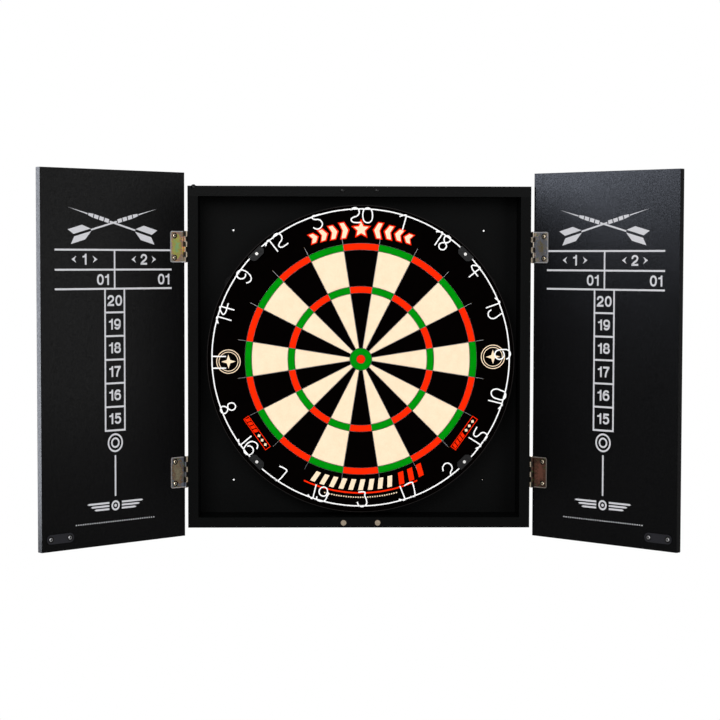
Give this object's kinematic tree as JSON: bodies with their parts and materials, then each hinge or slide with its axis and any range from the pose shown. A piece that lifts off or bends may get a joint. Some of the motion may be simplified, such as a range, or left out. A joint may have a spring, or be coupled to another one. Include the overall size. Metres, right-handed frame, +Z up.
{
  "type": "dart board cabinet",
  "caption": "Wall-hung cabinet with a pair of butt-hinged doors around a blade-wired bristle dart board on a hanging bracket.",
  "frame": {"origin": "middle of the four wall screw holes, on the wall plane", "axes": "+Z up, +Y into the wall, so the open front faces -Y, +X to the right of someone facing it"},
  "size_m": [0.8888, 0.2371, 0.53],
  "materials": {
    "black_paint": "satin black paint on fibreboard",
    "yellow_zinc": "yellow passivated zinc plate",
    "bright_steel": "bright zinc plate",
    "blade_steel": "dull galvanised strip",
    "black_steel": "satin black",
    "nickel": "nickel plate",
    "beech": "bare beech",
    "black_rubber": "matte",
    "black_plastic": "moulded, matte",
    "white_wire": "white coated wire",
    "chipboard": "bare chipboard",
    "raw_sisal": "compressed plant fibre, undyed",
    "black_sisal": "compressed plant fibre, dyed",
    "cream_sisal": "compressed plant fibre, dyed",
    "red_sisal": "compressed plant fibre, dyed",
    "green_sisal": "compressed plant fibre, dyed"
  },
  "bodies": {
    "cabinet": {"back_panel": "black_paint", "back_panel_screws": "bright_steel", "board_bracket": "bright_steel", "bottom_rail": "black_paint", "bracket_screws": "bright_steel", "corner_dowels": "beech", "door_bumpers": "black_rubber", "door_magnets": "nickel", "frame_hinge_screws": "yellow_zinc", "left_lower_frame_leaf": "yellow_zinc", "left_lower_hinge_pin": "yellow_zinc", "left_side": "black_paint", "left_upper_frame_leaf": "yellow_zinc", "left_upper_hinge_pin": "yellow_zinc", "right_lower_frame_leaf": "yellow_zinc", "right_lower_hinge_pin": "yellow_zinc", "right_side": "black_paint", "right_upper_frame_leaf": "yellow_zinc", "right_upper_hinge_pin": "yellow_zinc", "top_rail": "black_paint"},
    "left_door": {"left_door_hinge_screws": "yellow_zinc", "left_door_panel": "black_paint", "left_lower_door_leaf": "yellow_zinc", "left_strike_plate": "black_steel", "left_strike_screws": "bright_steel", "left_upper_door_leaf": "yellow_zinc"},
    "right_door": {"right_door_hinge_screws": "yellow_zinc", "right_door_panel": "black_paint", "right_lower_door_leaf": "yellow_zinc", "right_strike_plate": "black_steel", "right_strike_screws": "bright_steel", "right_upper_door_leaf": "yellow_zinc"},
    "dartboard": {"backing_board": "chipboard", "black_beds": "black_sisal", "bull": "red_sisal", "clip_pins": "bright_steel", "cream_beds": "cream_sisal", "green_beds": "green_sisal", "hanging_screw": "bright_steel", "number_field": "black_sisal", "number_ring": "white_wire", "outer_bull": "green_sisal", "red_beds": "red_sisal", "ring_clips": "black_plastic", "sisal_core": "raw_sisal", "spider": "blade_steel", "steel_band": "black_steel", "wheel_studs": "bright_steel"},
    "upper_right_wheel": {"upper_right_levelling_wheel": "black_plastic"},
    "bottom_wheel": {"bottom_levelling_wheel": "black_plastic"},
    "upper_left_wheel": {"upper_left_levelling_wheel": "black_plastic"}
  },
  "joints": [
    {"name": "left_door_swing", "type": "hinge", "parent": "cabinet", "child": "left_door", "pos_m": [-0.2528, -0.0642, 0], "axis": [0, 0, 1], "range_deg": [-42.7, 137.3]},
    {"name": "right_door_swing", "type": "hinge", "parent": "cabinet", "child": "right_door", "pos_m": [0.2528, -0.0642, 0], "axis": [0, 0, -1], "range_deg": [-44, 136]},
    {"name": "board_turn", "type": "hinge", "parent": "cabinet", "child": "dartboard", "pos_m": [0.0025, -0.013, -0.003], "axis": [0, -1, 0], "continuous": true},
    {"name": "upper_right_wheel_turn", "type": "hinge", "parent": "dartboard", "child": "upper_right_wheel", "pos_m": [0.19129, -0.0056, 0.106], "axis": [0, -1, 0], "range_deg": [-180, 180]},
    {"name": "bottom_wheel_turn", "type": "hinge", "parent": "dartboard", "child": "bottom_wheel", "pos_m": [0.0025, -0.0056, -0.221], "axis": [0, -1, 0], "range_deg": [-180, 180]},
    {"name": "upper_left_wheel_turn", "type": "hinge", "parent": "dartboard", "child": "upper_left_wheel", "pos_m": [-0.18629, -0.0056, 0.106], "axis": [0, -1, 0], "range_deg": [-180, 180]}
  ]
}
